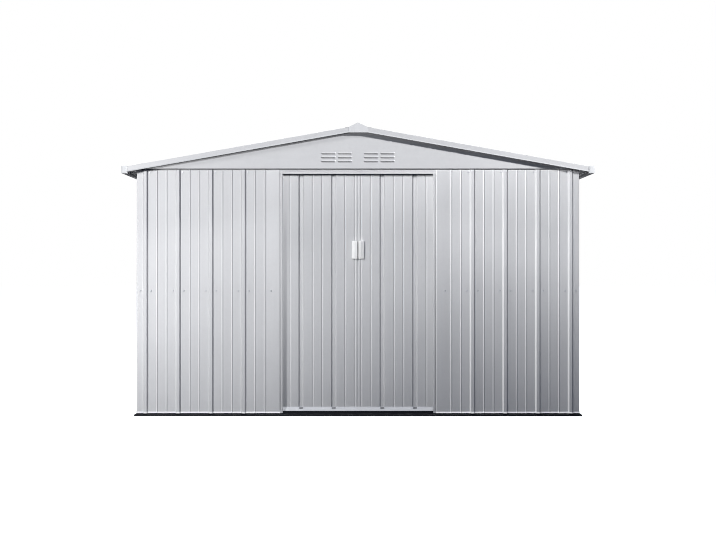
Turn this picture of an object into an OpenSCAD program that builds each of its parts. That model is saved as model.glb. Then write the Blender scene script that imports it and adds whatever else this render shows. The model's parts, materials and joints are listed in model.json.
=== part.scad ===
// Apex-roofed metal storage shed with two sliding doors.
// Millimetres. +Z up, the doors face -Y. The origin is on the ground at the centre of the shed.
// Ribbed sheet walls hang on a black sill frame; the doors run behind the front wall in a track.

/* [Body] */
// Width over the wall sheets
wall_w = 3000; // [2980:1:3010]
// Depth over the wall sheets
wall_d = 2330; // [2326:1:2340]
// Height of the walls under the gables
wall_top = 1671; // [1668:1:1672]
// Height of the lower edge of the wall sheets
sheet_z = 19; // [19:1:24]

/* [Sheet metal] */
// Thickness of the wall, door and roof sheets
sheet_t = 0.8; // [0.5:0.1:0.8]
// Distance between two ribs
pitch = 222; // [222:222]
// Height of a box rib
rib_h = 11; // [7:0.5:11]
// Height of a stiffening bead
bead_h = 2.5; // [1.5:0.5:3]
// Distance from a rib to the next bead
bead_at = 78.6; // [74:0.2:84]

/* [Doorway] */
// Clear width between the jambs
door_clear = 1022; // [1016:1:1024]
// Underside of the header over the doorway
header_z = 1643; // [1640:1:1646]
// Depth from the wall sheet to the door sheet
door_back = 32; // [32:1:34]
// Gap between the two closed doors
door_gap = 6; // [5:0.5:8]

/* [Roof] */
// Pitch of the roof in degrees
roof_a = 10.04; // [9.8:0.02:10.06]
// Underside of the roof sheets at the ridge
ridge_u = 1952; // [1952:1:1956]
// Overhang of the gable edge in front of the wall sheet
over_f = 50; // [40:1:60]
// Overhang of the eaves beside the wall sheet
over_s = 92; // [85:1:100]
// Height of the ridge cap's top
ridge_top = 1984; // [1982:1:1990]

/* [Louvres] */
// Length of one vent slot
vent_w = 95; // [80:1:97]
// Height of one vent slot
vent_h = 11; // [9:0.5:11.5]
// Distance between two rows of slots
vent_pitch = 27; // [25:0.5:28]

/* [Sill] */
// How far the sill stands out from the wall sheet
sill_out = 18; // [12:1:20]
// Height of the sill under the doors
sill_z = 33; // [32:1:34]
// Diameter of the anchor holes in the sill's floor flange
anchor_d = 9; // [6:0.5:10]

/* [Hidden] */
$fn = 48;

hw = wall_w / 2;
hd = wall_d / 2;
half_door = door_clear / 2;
jamb_w = 71;                    // width of a jamb post
lap = 18;                       // strip of jamb left bare beside the wall sheet
gable_v = rib_h + 1;            // gable sheet stands just clear of the ribs
gable_z = wall_top + 6;
slope = tan(roof_a);
verge_y = hd + over_f;          // face of the verge trim
eave_x = hw + over_s;           // face of the eave trim
roof_hi = rib_h + 2.4;          // top of the trims above the roof pan, square to the slope
verge_drop = 22.8;                // verge trim below the roof pan, square to the slope
post = 38;                      // leg of a corner post
post_v = 3.2;                   // sill's upstand passes between post and sheet
brace_z = 849;                  // middle of the wall braces
brace_h = 40;
door_y = -hd + door_back;       // outer pan face of a door sheet
door_z0 = 28;
door_z1 = 1665;
door_out = half_door + 36;      // outer edge of a closed door
rib_a = 165.5;                  // grooves of a door, from the meeting line
grip_z = 1126.5;                // middle of a door handle
track_y0 = -hd + 25;            // front face of the track
galv = [0.80, 0.81, 0.84];
galv_dark = [0.62, 0.63, 0.66];
trim = [0.86, 0.87, 0.89];
black = [0.10, 0.10, 0.12];
white = [0.93, 0.93, 0.92];

// ---- sheet profiles: points along the sheet, height outwards ----
function bump(c, base, top, h) = [[c - base, 0], [c - top, h], [c + top, h], [c + base, 0]];
function kept(c, base, lo, hi) = c - base > lo + 1 && c + base < hi - 1;
// Ribs at off + k * pitch and two beads between each pair of ribs
function ribbed(lo, hi, off, s) = [
  for (k = [-9:9]) for (f = [0, 1, 2])
    let (c = off + k * pitch + (f == 0 ? 0 : f == 1 ? bead_at : pitch - bead_at),
         base = f == 0 ? 18 : 6)
    if (kept(c, base, lo, hi))
      each bump(c, base, f == 0 ? 10 : 2, s * (f == 0 ? rib_h : bead_h))
];
function sheet_line(lo, hi, off, s) = concat([[lo, 0]], ribbed(lo, hi, off, s), [[hi, 0]]);
function back_of(p, t) = [for (i = [len(p) - 1:-1:0]) [p[i][0], p[i][1] - t]];

module sheet(line, h) {
  linear_extrude(h) polygon(concat(line, back_of(line, sheet_t)));
}

// Each side: local X runs along the wall, local Y points outwards
module on_front() { translate([0, -hd, 0]) mirror([0, 1, 0]) children(); }
module on_back() { translate([0, hd, 0]) children(); }
module on_right() { translate([hw, 0, 0]) rotate([0, 0, -90]) children(); }
module on_left() { translate([-hw, 0, 0]) rotate([0, 0, 90]) children(); }

// A C-channel along local X, open inwards: web at the outside
module channel(x0, x1, v, z0, z1, depth, t) {
  translate([x0, v - t, z0]) cube([x1 - x0, t, z1 - z0]);
  translate([x0, v - depth, z0]) cube([x1 - x0, depth - t / 2, t]);
  translate([x0, v - depth, z1 - t]) cube([x1 - x0, depth - t / 2, t]);
  translate([x0, v - depth, z0]) cube([x1 - x0, t, 9]);
  translate([x0, v - depth, z1 - 9]) cube([x1 - x0, t, 9]);
}

// ---- sill frame ----
// Section of the sill: points are [outwards, up]
function sill_section(up) = [
  [sill_out, 0], [sill_out, 9], [2, 17.5], [-1, 17.5], [-1, up], [-3, up], [-3, 3], [-44, 3], [-44, 0]
];
module sill_bar(half, up, x0, x1) {
  intersection() {
    translate([x0, 0, 0]) rotate([90, 0, 90]) linear_extrude(x1 - x0)
      polygon([for (p = sill_section(up)) [p[0], p[1]]]);
    linear_extrude(80)
      polygon([[-half - sill_out, sill_out], [half + sill_out, sill_out], [half - 44, -44], [-half + 44, -44]]);
  }
}
module anchor_holes(x) {
  for (s = [-1, 1]) translate([s * x, -28, -1]) cylinder(d = anchor_d, h = 6);
}
module sill_front() {
  color(black) on_front() difference() {
    union() {
      sill_bar(hw, 60, -hw - 20, hw + 20);
      // rear lip that keeps the doors in line
      translate([-1060, -67, 0]) cube([2120, 24, 3]);
      translate([-1060, -67, 0]) cube([2120, 2, 22]);
    }
    // lower upstand across the doorway
    translate([-600, -10, sill_z]) cube([1200, 20, 40]);
  }
}
module sill_back() { color(black) on_back() sill_bar(hw, 60, -hw - 20, hw + 20); }
module sill_left() {
  color(black) on_left() difference() { sill_bar(hd, 60, -hd - 20, hd + 20); anchor_holes(900); }
}
module sill_right() {
  color(black) on_right() difference() { sill_bar(hd, 60, -hd - 20, hd + 20); anchor_holes(900); }
}

// ---- walls ----
// Front sheet of one side: the strip beside the doorway stands 3 mm proud over the jamb
module front_sheet() {
  line = concat([[-hw, 0]], ribbed(-hw, -half_door - 104, pitch / 2, 1),
    [[-half_door - 104, 0], [-half_door - 74, 3], [-half_door - lap, 3]]);
  translate([0, 0, sheet_z]) sheet(line, wall_top - sheet_z);
}
module front_wall_left() { color(galv) on_front() front_sheet(); }
module front_wall_right() { color(galv) mirror([1, 0, 0]) on_front() front_sheet(); }
module back_wall() {
  color(galv) on_back() translate([0, 0, sheet_z]) sheet(sheet_line(-hw, hw, pitch / 2, 1), wall_top - sheet_z);
}
module side_sheet() {
  translate([0, 0, sheet_z]) sheet(sheet_line(-hd + 1, hd - 1, 0, 1), wall_top + 12 - sheet_z);
}
module left_wall() { color(galv) on_left() side_sheet(); }
module right_wall() { color(galv) on_right() side_sheet(); }

// ---- gables with pressed louvres ----
vent_x = [-201, -89, 89, 201];
vent_z = [1723.5, 1723.5 + vent_pitch, 1723.5 + 2 * vent_pitch];
module louvre_hood() {
  // local X along, Y outwards, Z up; the slot's middle is at the origin
  rotate([90, 0, 90]) translate([0, 0, -vent_w / 2 - 1]) {
    linear_extrude(vent_w + 2) polygon([[0, 15], [9, 4.5], [9, 3], [0, 13]]);
    for (z = [0, vent_w + 1]) translate([0, 0, z])
      linear_extrude(1) polygon([[0, 15], [9, 4.5], [9, 3], [0, -vent_h / 2]]);
  }
}
module gable() {
  t = sheet_t;
  top = ridge_u - 4;
  eave = top - slope * hw;
  difference() {
    union() {
      translate([0, gable_v, 0]) rotate([90, 0, 0]) linear_extrude(t)
        polygon([[-hw, gable_z], [hw, gable_z], [hw, eave], [0, top], [-hw, eave]]);
      // folded lower edge
      translate([-hw, 0.5, gable_z]) cube([2 * hw, gable_v - 0.5 - t / 2, t]);
    }
    for (x = vent_x) for (z = vent_z) translate([x - vent_w / 2, gable_v - 5, z - vent_h / 2])
      cube([vent_w, 10, vent_h]);
  }
  for (x = vent_x) for (z = vent_z) translate([x, gable_v - 0.3, z]) louvre_hood();
}
module front_gable() { color(galv) on_front() gable(); }
module back_gable() { color(galv) on_back() gable(); }

// ---- frame ----
module one_post() {
  // outside corner at the origin, legs along +X and +Y
  translate([0, 0, 3.2]) {
    cube([post, 1.5, wall_top - 3.2]);
    cube([1.5, post, wall_top - 3.2]);
  }
}
module corner_posts() {
  color(galv_dark) for (sx = [0, 1]) for (sy = [0, 1]) mirror([sx, 0, 0]) mirror([0, sy, 0])
    translate([-hw + post_v, -hd + post_v, 0]) one_post();
}
module jamb() {
  // left jamb, seen on the front side; its face lies close behind the proud strip of sheet
  x0 = -half_door - jamb_w;
  z0 = sill_z + 0.5;
  h = header_z - 0.5 - z0;
  translate([x0, 0.6, z0]) cube([jamb_w, 1.2, h]);
  translate([-half_door - 1.2, -25, z0]) cube([1.2, 26, h]);
  translate([x0, -25, z0]) cube([1.2, 26, h]);
  translate([-half_door - 14, -25, z0]) cube([14, 1.2, h]);
}
module door_jamb_left() { color(trim) on_front() jamb(); }
module door_jamb_right() { color(trim) mirror([1, 0, 0]) on_front() jamb(); }
module door_header() {
  color(trim) on_front() channel(-hw + 43, hw - 43, -1.2, header_z, header_z + 43, 23.8, 1.2);
}
module door_track() {
  w = 40;
  x = 1075;
  color(galv_dark) translate([-x, track_y0, 0]) {
    translate([0, 0, 1676]) cube([2 * x, 1.5, 26]);
    translate([0, w - 1.5, 1676]) cube([2 * x, 1.5, 26]);
    translate([0, 0, 1700.5]) cube([2 * x, w, 1.5]);
    translate([0, 0, 1676]) cube([2 * x, 12.5, 2]);
    translate([0, w - 12.5, 1676]) cube([2 * x, 12.5, 2]);
  }
}
module brace_front() {
  color(galv_dark) for (m = [0, 1]) mirror([m, 0, 0]) on_front()
    channel(-hw + 43, -half_door - jamb_w - 2, -1.2, brace_z - brace_h / 2, brace_z + brace_h / 2, 20, 1.2);
}
module brace_back() {
  color(galv_dark) on_back()
    channel(-hw + 43, hw - 43, -1.2, brace_z - brace_h / 2, brace_z + brace_h / 2, 23, 1.2);
}
module brace_sides() {
  color(galv_dark) for (m = [0, 1]) mirror([m, 0, 0]) on_left()
    channel(-hd + 43, hd - 43, -1.2, brace_z - brace_h / 2, brace_z + brace_h / 2, 23, 1.2);
}
module top_rail_back() {
  color(galv_dark) on_back() channel(-hw + 43, hw - 43, -1.2, header_z, header_z + 43, 23, 1.2);
}
module top_rail_sides() {
  color(galv_dark) for (m = [0, 1]) mirror([m, 0, 0]) on_left()
    channel(-hd + 43, hd - 43, -1.2, header_z, header_z + 42, 23, 1.2);
}
module beam(x, w, h, z) {
  // box section along Y
  l = 2 * (hd + gable_v - 2);
  difference() {
    translate([x - w / 2, -l / 2, z]) cube([w, l, h]);
    translate([x - w / 2 + 1.5, -l, z + 1.5]) cube([w - 3, 2 * l, h - 3]);
  }
}
module ridge_beam() { color(galv_dark) beam(0, 40, 36, ridge_u - slope * 20 - 36.3); }
module roof_purlins() {
  for (s = [-1, 1]) color(galv_dark) beam(s * 750, 25, 38, ridge_u - slope * 762.5 - 38.3);
}

// ---- roof ----
// Right slope: local X runs down the slope from the ridge, local Z is square to it
module on_slope() { translate([0, 0, ridge_u]) rotate([0, roof_a, 0]) children(); }
module roof_right() {
  y = verge_y - 3;
  line = sheet_line(-y, y, 0, 1);
  raised = [for (p = line) [p[0], p[1] + sheet_t]];
  color(galv) on_slope() translate([2.5, 0, 0]) rotate([90, 0, 90])
    linear_extrude((eave_x - 7) / cos(roof_a) - 2.5) polygon(concat(raised, back_of(raised, sheet_t)));
}
module roof_left() { mirror([1, 0, 0]) roof_right(); }

// Verge trim on the front of the right slope
module verge() {
  y = -verge_y;
  on_slope() {
    rotate([90, 0, 90]) translate([0, 0, 60]) linear_extrude((hw + over_s - 36) / cos(roof_a) - 60)
      polygon([[y + 33, roof_hi], [y, roof_hi], [y, -verge_drop], [y + 9, -verge_drop],
               [y + 9, -verge_drop + 1], [y + 1, -verge_drop + 1], [y + 1, roof_hi - 1], [y + 33, roof_hi - 1]]);
    // face only, beside the eave trim
    translate([(hw + over_s - 37) / cos(roof_a), y, -verge_drop])
      cube([34.5 / cos(roof_a), 1, roof_hi + verge_drop]);
  }
}
module verge_front_right() { color(trim) verge(); }
module verge_front_left() { color(trim) mirror([1, 0, 0]) verge(); }
module verge_back_right() { color(trim) mirror([0, 1, 0]) verge(); }
module verge_back_left() { color(trim) mirror([1, 0, 0]) mirror([0, 1, 0]) verge(); }

function trim_z(x) = ridge_u + roof_hi / cos(roof_a) - slope * x;
module eave_trim_right() {
  x = eave_x;
  b = trim_z(x) - 42;
  l = verge_y - 1.5;
  color(trim) translate([0, l, 0]) rotate([90, 0, 0]) linear_extrude(2 * l)
    polygon([[x - 32, trim_z(x - 32)], [x, trim_z(x)], [x, b], [x - 22, b], [x - 22, b + 9],
             [x - 21, b + 9], [x - 21, b + 1], [x - 1, b + 1], [x - 1, trim_z(x - 1) - 1], [x - 32, trim_z(x - 32) - 1]]);
}
module eave_trim_left() { mirror([1, 0, 0]) eave_trim_right(); }

// Plastic cap over one corner: front, outer side and top walls
module corner_cap() {
  w = 38; d = 38; z0 = trim_z(eave_x) - 34; z1 = trim_z(eave_x - 34) + 3.3;
  translate([eave_x + 4 - w, -verge_y - 4, z0]) cube([w, 2.5, z1 - z0]);
  translate([eave_x + 1.5, -verge_y - 4, z0]) cube([2.5, d, z1 - z0]);
  translate([eave_x + 4 - w, -verge_y - 4, z1 - 2.5]) cube([w, d, 2.5]);
}
module eave_corner_caps() {
  color(trim) for (sx = [0, 1]) for (sy = [0, 1]) mirror([sx, 0, 0]) mirror([0, sy, 0]) corner_cap();
}

// Ridge cap: half of its line from the edge to the peak
cap_half = [[76, trim_z(76) + 1.2], [56, ridge_top - 21.5], [38, ridge_top - 11.5], [18, ridge_top - 2.8]];
cap_line = concat(cap_half, [[0, ridge_top]], [for (i = [3:-1:0]) [-cap_half[i][0], cap_half[i][1]]]);
module ridge_cap() {
  l = verge_y - 0.5;
  color(trim) translate([0, l, 0]) rotate([90, 0, 0]) linear_extrude(2 * l)
    polygon(concat(cap_line, [for (i = [len(cap_line) - 1:-1:0]) [cap_line[i][0], cap_line[i][1] - 1.2]]));
}
module ridge_end_caps() {
  z0 = ridge_u - verge_drop / cos(roof_a) - slope * 66;
  for (s = [0, 1]) color(trim) mirror([0, s, 0]) translate([0, -verge_y - 0.4, 0]) rotate([90, 0, 0])
    linear_extrude(3) polygon(concat([[-76, z0 + 14], [-66, z0 - 0.5], [66, z0 - 0.5], [76, z0 + 14]], cap_line));
}

// ---- doors ----
// Left door: grooves are pressed inwards
module door_sheet() {
  x0 = -door_out;
  x1 = -door_gap / 2;
  translate([0, door_y, door_z0 + 2]) mirror([0, 1, 0])
    sheet(sheet_line(x0 + 1, x1 - 1, -rib_a, -1), door_z1 - door_z0 - 4);
}
module door_left_sheet() { color(galv) door_sheet(); }
module door_right_sheet() { color(galv) mirror([1, 0, 0]) door_sheet(); }

// Stiles and rails are channels, open to the inside of the shed
frame_y = door_y + rib_h + 1.4;   // just behind the grooves
frame_d = 12;
module open_channel(x, z, w, h) {
  t = 1.2;
  difference() {
    translate([x, frame_y, z]) cube([w, frame_d, h]);
    translate([x + t, frame_y + t, z - (w > h ? -t : 1)]) cube([w - 2 * t, frame_d, h - (w > h ? 2 * t : -2)]);
  }
}
module door_stiles() {
  z0 = door_z0 + 30.5;
  h = door_z1 - door_z0 - 61;
  open_channel(-door_out, z0, 34, h);
  open_channel(-door_gap / 2 - 34, z0, 34, h);
}
// The lower and upper rails wrap the ends of the sheet with a front flange
module door_rails() {
  x0 = -door_out;
  w = door_out - door_gap / 2;
  t = 1.2;
  open_channel(x0, door_z0, w, 30);
  translate([x0, door_y - 1.2, door_z0]) cube([w, frame_y - door_y + 1.7, t]);
  translate([x0, door_y - 1.2, door_z0]) cube([w, 1, 27]);
  open_channel(x0, door_z1 - 30, w, 30);
  translate([x0, door_y - 1.2, door_z1 - t]) cube([w, frame_y - door_y + 1.7, t]);
  translate([x0, door_y - 1.2, door_z1 - 16]) cube([w, 1, 16]);
  open_channel(x0 + 34.5, grip_z - 20, w - 69, 40);
}
// The left door's strip stands off its stile and laps behind the gap
module lap_strip() {
  y = frame_y + frame_d;
  z0 = door_z0 + 30.5;
  h = door_z1 - door_z0 - 61;
  translate([-30, y - 0.5, z0]) cube([18, 1.2, h]);
  translate([-13.2, y - 0.5, z0]) cube([1.2, 7.5, h]);
  translate([-13.2, y + 5.8, z0]) cube([28, 1.2, h]);
}
module door_left_stiles() {
  color(galv_dark) {
    door_stiles();
    lap_strip();
  }
}
module door_left_rails() { color(galv_dark) door_rails(); }
module door_right_stiles() { color(galv_dark) mirror([1, 0, 0]) door_stiles(); }
module door_right_rails() { color(galv_dark) mirror([1, 0, 0]) door_rails(); }

// Glides: two in the track above, two tongues behind the sill's upstand
module glides() {
  y = track_y0 + 20;
  for (x = [-door_out + 90, -90]) {
    translate([x - 20, y - 1.5, door_z1 + 0.2]) cube([40, 3, 18]);
    translate([x - 25, y - 12.5, 1683.2]) cube([50, 25, 9]);
    translate([x - 17, y - 1.5, 10]) cube([34, 3, door_z0 - 10.2]);
  }
}
module door_left_glides() { color([0.85, 0.85, 0.85]) glides(); }
module door_right_glides() { color([0.85, 0.85, 0.85]) mirror([1, 0, 0]) glides(); }

module pill(w, h, r, d) {
  linear_extrude(d) hull() for (x = [-1, 1]) for (y = [-1, 1])
    translate([x * (w / 2 - r), y * (h / 2 - r)]) circle(r, $fn = 24);
}
// Handle of the left door: a foot plate and a grip plate, held apart at both ends
module handle() {
  w = 34; h = 123;
  translate([-23.5, door_y - 0.2, grip_z]) rotate([90, 0, 0]) {
    pill(w, h, 5, 2.5);
    for (y = [-1, 1]) translate([0, y * (h / 2 - 7), 0]) pill(w - 2, 12, 4, 20);
    translate([0, 0, 16]) pill(w, h, 5, 8);
  }
}
module door_left_handle() { color(white) handle(); }
module door_right_handle() { color(white) mirror([1, 0, 0]) handle(); }

sill_front();
sill_back();
sill_left();
sill_right();
front_wall_left();
front_wall_right();
back_wall();
left_wall();
right_wall();
front_gable();
back_gable();
corner_posts();
door_jamb_left();
door_jamb_right();
door_header();
door_track();
brace_front();
brace_back();
brace_sides();
top_rail_back();
top_rail_sides();
ridge_beam();
roof_purlins();
roof_left();
roof_right();
verge_front_left();
verge_front_right();
verge_back_left();
verge_back_right();
eave_trim_left();
eave_trim_right();
eave_corner_caps();
ridge_cap();
ridge_end_caps();
door_left_sheet();
door_left_stiles();
door_left_rails();
door_left_glides();
door_left_handle();
door_right_sheet();
door_right_stiles();
door_right_rails();
door_right_glides();
door_right_handle();
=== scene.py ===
import json
import math
import random

import bmesh
import bpy
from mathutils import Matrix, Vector
from mathutils.geometry import delaunay_2d_cdt

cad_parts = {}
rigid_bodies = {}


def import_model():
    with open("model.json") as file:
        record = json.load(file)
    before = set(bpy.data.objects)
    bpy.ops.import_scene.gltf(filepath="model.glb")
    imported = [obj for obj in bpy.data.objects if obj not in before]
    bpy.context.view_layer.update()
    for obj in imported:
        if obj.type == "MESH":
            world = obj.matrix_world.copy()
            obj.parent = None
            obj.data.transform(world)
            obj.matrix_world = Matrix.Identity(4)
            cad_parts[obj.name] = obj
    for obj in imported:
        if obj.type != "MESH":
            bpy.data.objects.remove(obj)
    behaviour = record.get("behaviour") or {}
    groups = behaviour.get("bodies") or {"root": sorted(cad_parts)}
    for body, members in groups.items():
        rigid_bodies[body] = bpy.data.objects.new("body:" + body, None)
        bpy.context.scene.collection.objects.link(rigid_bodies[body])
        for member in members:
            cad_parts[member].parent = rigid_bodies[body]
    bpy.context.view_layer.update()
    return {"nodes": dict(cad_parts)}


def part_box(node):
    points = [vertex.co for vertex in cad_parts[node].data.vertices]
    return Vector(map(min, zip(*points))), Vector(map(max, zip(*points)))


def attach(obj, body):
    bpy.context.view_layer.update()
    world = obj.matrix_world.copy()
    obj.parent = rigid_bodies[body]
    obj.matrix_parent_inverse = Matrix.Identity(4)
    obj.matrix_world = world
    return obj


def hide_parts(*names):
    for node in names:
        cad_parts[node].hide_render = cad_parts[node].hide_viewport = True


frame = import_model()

MM = 0.001


# ---------------------------------------------------------------- sizes, in millimetres
def span(node):
    lo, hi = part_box(node)
    return [v / MM for v in lo], [v / MM for v in hi]


wall_lo, wall_hi = span("back_wall")
HW = wall_hi[0]                                    # half the width over the wall sheets
WALL_Z0, WALL_Z1 = wall_lo[2], wall_hi[2]
HD = wall_hi[1] - 11.0                             # wall sheet pan, half depth
PITCH, BEAD_AT = 222.0, 78.6
T = 0.8
ROOF_A = math.radians(10.04)
CA, SA, TA = math.cos(ROOF_A), math.sin(ROOF_A), math.tan(ROOF_A)
ROOF_U = span("roof_right")[1][2] - (11.8) * CA + 2.5 * SA   # underside of the roof pan at the ridge
ROOF_U = round(ROOF_U, 1)
VERGE_Y = abs(span("verge_front_left")[0][1])      # face of the verges
EAVE_X = span("eave_trim_right")[1][0]
RIDGE_TOP = span("ridge_cap")[1][2]
jamb_lo, jamb_hi = span("door_jamb_left")
HALF_DOOR = -jamb_hi[0]
HEAD_Z0, HEAD_Z1 = span("door_header")[0][2], span("door_header")[1][2]
door_lo, door_hi = span("door_left_sheet")
DOOR_Y = door_lo[1]                                # outer face of a door's pan
DOOR_OUT = -span("door_left_rails")[0][0]
DOOR_IN = -span("door_left_rails")[1][0]
RAIL_Z0, RAIL_Z1 = span("door_left_rails")[0][2], span("door_left_rails")[1][2]
GRIP_LO, GRIP_HI = span("door_left_handle")
GABLE_V = 12.0
GABLE_Z = span("front_gable")[0][2]
BRACE_Z = sum(v[2] for v in span("brace_back")) / 2


# ---------------------------------------------------------------- mesh helpers
def fillet(pts, radius, seg=3):
    """Rounds the corners of an open polyline."""
    out = [pts[0]]
    for i in range(1, len(pts) - 1):
        p0, p, p1 = (Vector(q) for q in pts[i - 1:i + 2])
        a, b = (p0 - p), (p1 - p)
        la, lb = a.length, b.length
        if la < 1e-6 or lb < 1e-6:
            continue
        a, b = a / la, b / lb
        r = radius[i] if isinstance(radius, (list, tuple)) else radius
        cosang = max(-1.0, min(1.0, a.dot(b)))
        ang = math.acos(cosang)
        if ang > math.radians(178) or r <= 0:
            out.append(tuple(p))
            continue
        t = min(r / math.tan(ang / 2), 0.46 * la, 0.46 * lb)
        s, e = p + a * t, p + b * t
        for k in range(seg + 1):
            f = k / seg
            out.append(tuple(s * (1 - f) ** 2 + p * 2 * f * (1 - f) + e * f ** 2))
    out.append(pts[-1])
    return out


def normals2(pts):
    """Unit normals to the left of a polyline."""
    out = []
    for i in range(len(pts)):
        a = Vector(pts[max(i - 1, 0)])
        b = Vector(pts[min(i + 1, len(pts) - 1)])
        d = (b - a).normalized()
        out.append(Vector((-d.y, d.x)))
    return out


def finish_mesh(name, bm, body, mats, replaces=(), angle=34, uv=True):
    bmesh.ops.recalc_face_normals(bm, faces=bm.faces)
    me = bpy.data.meshes.new(name)
    bm.to_mesh(me)
    bm.free()
    for p in me.polygons:
        p.use_smooth = True
    me.set_sharp_from_angle(angle=math.radians(angle))
    ob = bpy.data.objects.new(name, me)
    bpy.context.scene.collection.objects.link(ob)
    for m in (mats if isinstance(mats, (list, tuple)) else [mats]):
        me.materials.append(m)
    # big faces keep their own normal, so flat pans stay flat beside the small folds
    mod = ob.modifiers.new("flat_faces", "WEIGHTED_NORMAL")
    mod.mode = "FACE_AREA"
    mod.weight = 60
    mod.keep_sharp = True
    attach(ob, body)
    if replaces:
        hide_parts(*replaces)
    return ob


def add_sheet(bm, outer, stations, place, t=T, shift=None, side=-1.0):
    """A folded sheet: the outer line swept over the stations, with its thickness. side -1 puts the thickness right of the line."""
    uvl = bm.loops.layers.uv.verify()
    nrm = normals2(outer)
    inner = [(p[0] + side * t * n.x, p[1] + side * t * n.y) for p, n in zip(outer, nrm)]
    arc = [0.0]
    for i in range(1, len(outer)):
        arc.append(arc[-1] + (Vector(outer[i]) - Vector(outer[i - 1])).length)
    n = len(outer)
    rows = []
    for w in stations:
        row = []
        for line in (outer, inner):
            for (u, v) in line:
                d = shift(u, v, w) if shift else 0.0
                x, y, z = place(u, v + d, w)
                row.append(bm.verts.new((x * MM, y * MM, z * MM)))
        rows.append(row)

    def quad(a, b, c, d, uvs):
        f = bm.faces.new((a, b, c, d))
        for loop, q in zip(f.loops, uvs):
            loop[uvl].uv = q
    for j in range(len(stations) - 1):
        w0, w1 = stations[j] * MM, stations[j + 1] * MM
        for i in range(n - 1):
            a0, a1 = arc[i] * MM, arc[i + 1] * MM
            q = ((a0, w0), (a1, w0), (a1, w1), (a0, w1))
            quad(rows[j][i], rows[j][i + 1], rows[j + 1][i + 1], rows[j + 1][i], q)
            quad(rows[j][n + i + 1], rows[j][n + i], rows[j + 1][n + i], rows[j + 1][n + i + 1],
                 (q[1], q[0], q[3], q[2]))
        for i in (0, n - 1):
            q = ((arc[i] * MM, w0), (arc[i] * MM + 0.001, w0), (arc[i] * MM + 0.001, w1), (arc[i] * MM, w1))
            a, b = (i, n + i)
            quad(rows[j][b], rows[j][a], rows[j + 1][a], rows[j + 1][b], q)
    for j in (0, len(stations) - 1):
        w = stations[j] * MM
        for i in range(n - 1):
            a0, a1 = arc[i] * MM, arc[i + 1] * MM
            quad(rows[j][i], rows[j][n + i], rows[j][n + i + 1], rows[j][i + 1],
                 ((a0, w), (a0, w + 0.001), (a1, w + 0.001), (a1, w)))


def spread(a, b, step):
    n = max(1, int(round((b - a) / step)))
    return [a + (b - a) * k / n for k in range(n + 1)]


def ribs(lo, hi, off, s, h=11.0, bead=2.1):
    """The corner points of ribs and beads between lo and hi."""
    pts = []
    for k in range(-9, 10):
        for f, c in enumerate((off + k * PITCH, off + k * PITCH + BEAD_AT, off + (k + 1) * PITCH - BEAD_AT)):
            base, top, hh = (18.0, 10.0, h) if f == 0 else (6.0, 1.6, bead)
            if c - base > lo + 1 and c + base < hi - 1:
                pts += [(c - base, 0.0), (c - top, s * hh), (c + top, s * hh), (c + base, 0.0)]
    return pts


random.seed(11)


def wobble(amp, width, height, seed):
    """A slow in-and-out of a thin sheet, none at its ends."""
    rnd = random.Random(seed)
    waves = [(rnd.uniform(1.5, 5.0), rnd.uniform(0.6, 2.6), rnd.uniform(0, 6.28), rnd.uniform(0, 6.28)) for _ in range(5)]

    def f(u, w, w0, w1):
        s = sum(math.sin(a * u / 1000 * 3.1 + p) * math.sin(b * w / 1000 * 3.1 + q) for a, b, p, q in waves) / 2.2
        e = min(1.0, max(0.0, min(w - w0, w1 - w) / 120.0))
        return amp * s * e
    return f


def smooth01(x):
    x = min(1.0, max(0.0, x))
    return x * x * (3 - 2 * x)


# places: (along, outwards, up) to the row frame
def on_front(u, v, w): return (u, -(HD + v), w)
def on_back(u, v, w): return (u, HD + v, w)
def on_right(u, v, w): return (HW + v, u, w)
def on_left(u, v, w): return (-(HW + v), u, w)


# ---------------------------------------------------------------- materials
def nodes_of(name):
    m = bpy.data.materials.new(name)
    m.use_nodes = True
    nt = m.node_tree
    b = nt.nodes["Principled BSDF"]
    return m, nt, b


def add(nt, kind, **kw):
    n = nt.nodes.new(kind)
    for k, v in kw.items():
        if k.startswith("i_"):
            n.inputs[k[2:].replace("_", " ")].default_value = v
        else:
            setattr(n, k, v)
    return n


def noise(nt, vec, scale, detail=3.0, rough=0.55):
    n = add(nt, "ShaderNodeTexNoise")
    n.inputs["Scale"].default_value = scale
    n.inputs["Detail"].default_value = detail
    n.inputs["Roughness"].default_value = rough
    nt.links.new(vec, n.inputs["Vector"])
    return n.outputs["Fac"]


def stretch(nt, vec, s):
    m = add(nt, "ShaderNodeMapping")
    m.inputs["Scale"].default_value = s
    nt.links.new(vec, m.inputs["Vector"])
    return m.outputs["Vector"]


def ramp(nt, fac, lo, hi, a, b):
    m = add(nt, "ShaderNodeMapRange")
    m.inputs["From Min"].default_value = lo
    m.inputs["From Max"].default_value = hi
    m.inputs["To Min"].default_value = a
    m.inputs["To Max"].default_value = b
    nt.links.new(fac, m.inputs["Value"])
    return m.outputs["Result"]


def math2(nt, op, a, b):
    m = add(nt, "ShaderNodeMath", operation=op)
    for s, v in ((0, a), (1, b)):
        if isinstance(v, (int, float)):
            m.inputs[s].default_value = v
        else:
            nt.links.new(v, m.inputs[s])
    return m.outputs[0]


def tint(nt, base, gain):
    """base times gain, a scalar that varies over the surface."""
    m = add(nt, "ShaderNodeVectorMath", operation="SCALE")
    m.inputs[0].default_value = base
    nt.links.new(gain, m.inputs["Scale"])
    return m.outputs[0]


def mix(nt, fac, a, b):
    m = add(nt, "ShaderNodeMix", data_type="RGBA")
    for sock, v in ((m.inputs["Factor"], fac), (m.inputs[6], a), (m.inputs[7], b)):
        if isinstance(v, (int, float)):
            sock.default_value = v
        elif isinstance(v, tuple):
            sock.default_value = (*v, 1.0)[:4]
        else:
            nt.links.new(v, sock)
    return m.outputs[2]


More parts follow.
